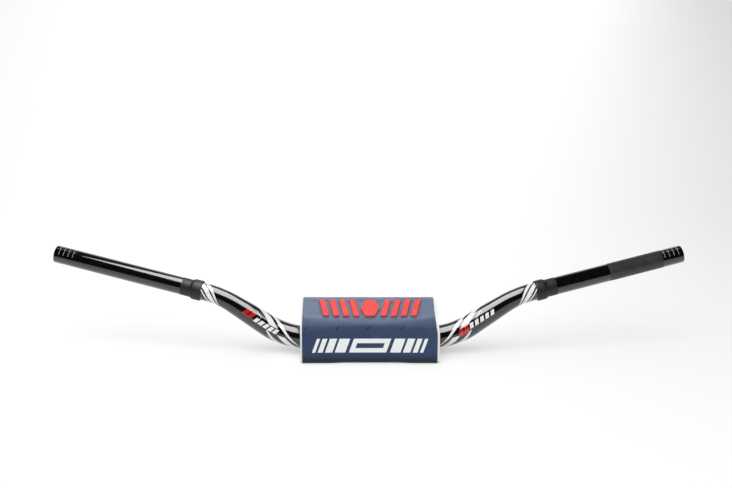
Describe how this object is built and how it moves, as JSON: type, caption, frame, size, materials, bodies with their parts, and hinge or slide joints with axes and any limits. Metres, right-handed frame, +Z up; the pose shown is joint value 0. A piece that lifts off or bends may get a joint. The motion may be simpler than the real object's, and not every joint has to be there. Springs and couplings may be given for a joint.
{
  "type": "motocross handlebar",
  "caption": "Tapered motocross handlebar without a crossbar: a bent aluminium tube with raised collars at the grip sections and a foam bar pad at the clamp.",
  "frame": {"origin": "the middle of the clamp section, on the tube's axis", "axes": "+X along the clamp section, towards one grip; +Y back towards the rider; +Z up as the bar stands on its pad"},
  "size_m": [0.801, 0.0968, 0.1282],
  "materials": {
    "anodised_tube": "gloss",
    "white_foam": "matte",
    "navy_cover": "satin",
    "loop_tape": "matte",
    "hook_tape": "matte",
    "red_rubber": "satin"
  },
  "bodies": {
    "root": {"bar_tube": "anodised_tube", "pad_foam_core": "white_foam", "pad_cover": "navy_cover", "loop_tape": "loop_tape", "hook_tape": "hook_tape", "badge_lozenge": "red_rubber", "badge_bar_right_1": "red_rubber", "badge_bar_right_2": "red_rubber", "badge_bar_right_3": "red_rubber", "badge_bar_right_4": "red_rubber", "badge_bar_left_1": "red_rubber", "badge_bar_left_2": "red_rubber", "badge_bar_left_3": "red_rubber", "badge_bar_left_4": "red_rubber"}
  },
  "joints": []
}
